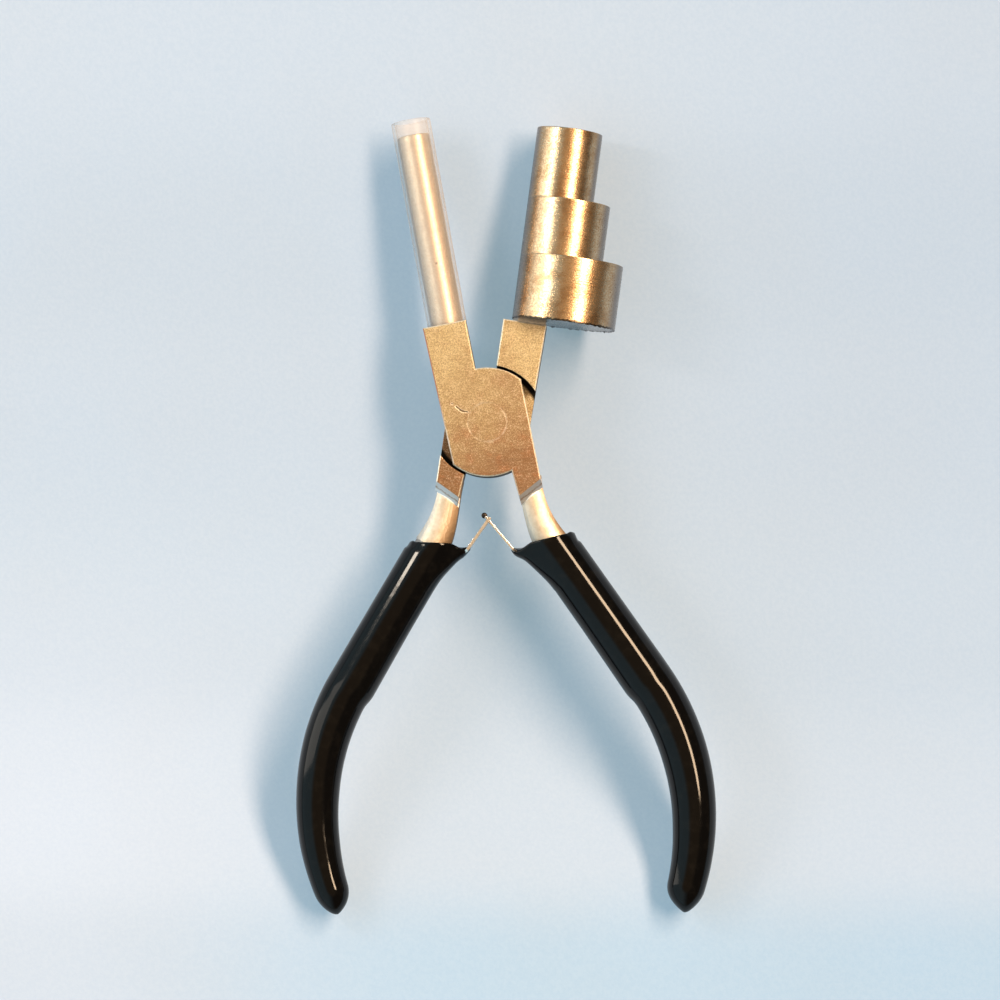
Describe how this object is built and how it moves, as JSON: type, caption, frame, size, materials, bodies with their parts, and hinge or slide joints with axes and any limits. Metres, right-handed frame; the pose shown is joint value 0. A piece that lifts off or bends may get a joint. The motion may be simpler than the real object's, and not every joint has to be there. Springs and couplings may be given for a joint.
{
  "type": "loop forming pliers",
  "caption": "Hand pliers with a lap joint: a sleeved round jaw closes on a stepped barrel jaw that wire is bent round, with dipped vinyl grips and a double leaf return spring.",
  "frame": {"origin": "on the pivot axis, at the rear ground face of the joint", "axes": "+Z along the pivot from the rear ground face to the front one, +Y from the pivot towards the jaws, +X towards the stepped jaw; the tool lies on its back"},
  "size_m": [0.0814, 0.1546, 0.02],
  "materials": {
    "ground_steel": "satin ground faces with fine grain",
    "turned_steel": "polished by turning",
    "rivet_steel": "ground flush",
    "spring_steel": "bright rolled strip",
    "braze_metal": "rough, dark with flux",
    "black_vinyl": "glossy dipped vinyl",
    "clear_sleeve": "translucent, slightly cloudy"
  },
  "bodies": {
    "front": {"front_half": "ground_steel", "pivot_rivet": "rivet_steel", "mandrel_rod": "turned_steel", "rod_sleeve": "clear_sleeve", "right_grip": "black_vinyl", "right_spring_root": "spring_steel", "right_spring_rivet": "rivet_steel"},
    "back": {"back_half": "ground_steel", "stepped_mandrel": "turned_steel", "mandrel_braze": "braze_metal", "left_grip": "black_vinyl", "left_spring_root": "spring_steel", "left_spring_rivet": "rivet_steel"},
    "right_leaf": {"right_spring_leaf": "spring_steel"},
    "left_leaf": {"left_spring_leaf": "spring_steel"}
  },
  "joints": [
    {"name": "main_pivot", "type": "hinge", "parent": "front", "child": "back", "pos_m": [0, 0, 0.0047], "axis": [0, 0, 1], "range_deg": [0, 18], "stiffness_Nm_per_rad": 1.2, "springref_deg": -3.44},
    {"name": "right_leaf_flex", "type": "hinge", "parent": "front", "child": "right_leaf", "pos_m": [0.00502, -0.02449, 0.0047], "axis": [0, 0, 1], "range_deg": [-28.6, 0]},
    {"name": "left_leaf_flex", "type": "hinge", "parent": "back", "child": "left_leaf", "pos_m": [-0.004, -0.02468, 0.0047], "axis": [0, 0, 1], "range_deg": [0, 25.9]}
  ],
  "couplings": [
    {"joint": "right_leaf_flex", "follows": "main_pivot", "ratio": -1.56},
    {"joint": "left_leaf_flex", "follows": "main_pivot", "ratio": 1.41}
  ]
}
